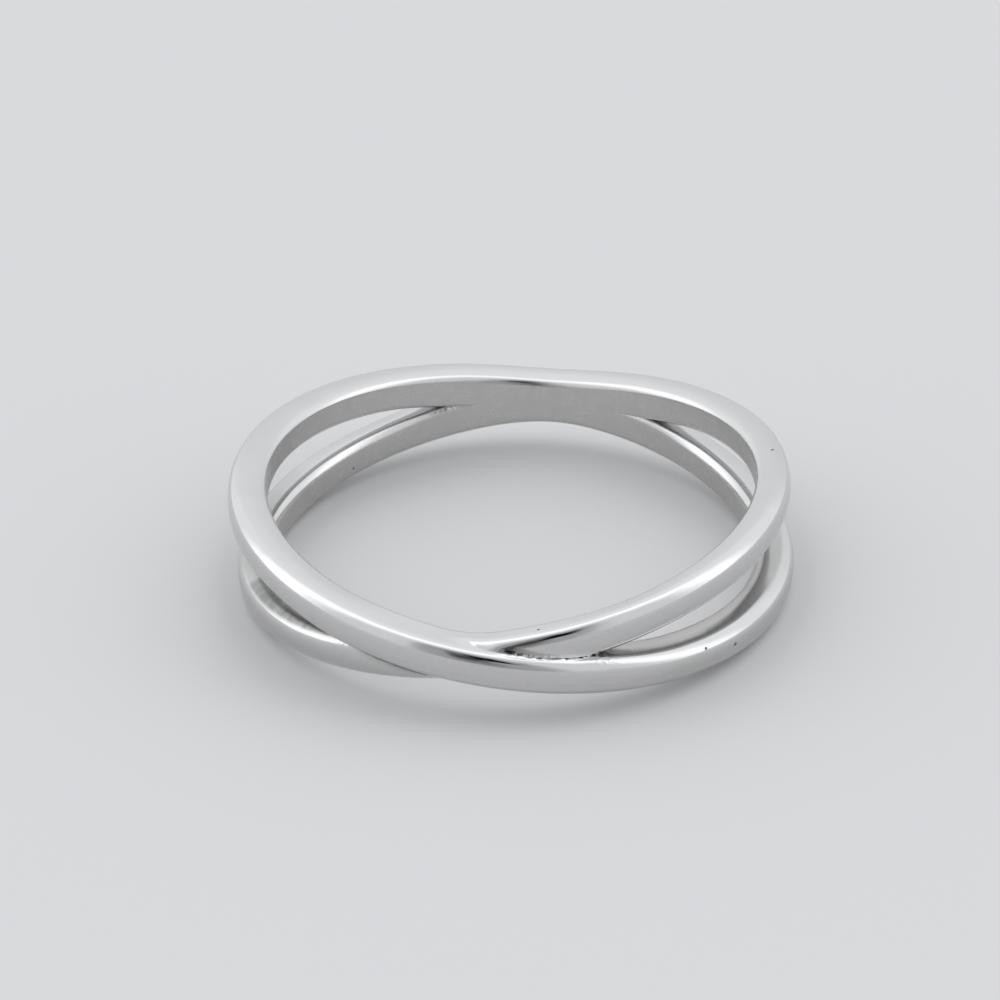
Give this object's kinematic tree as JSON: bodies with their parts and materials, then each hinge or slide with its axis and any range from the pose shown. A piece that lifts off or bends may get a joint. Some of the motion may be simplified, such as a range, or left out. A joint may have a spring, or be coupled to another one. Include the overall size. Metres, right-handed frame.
{
  "type": "crossover ring",
  "caption": "Slim polished silver finger ring whose strands cross over at the front and grow together into the shank at the back.",
  "frame": {"origin": "centre of the bore, at the level of the ring's lowest edges as it lies on its side", "axes": "+Z along the bore, up as the ring lies; the crossing faces -Y and the middle of the shank +Y; the over strand is high at -X and low at +X"},
  "size_m": [0.02, 0.02, 0.0044],
  "materials": {
    "silver": "polished"
  },
  "bodies": {
    "root": {"crossover_band": "silver"}
  },
  "joints": []
}
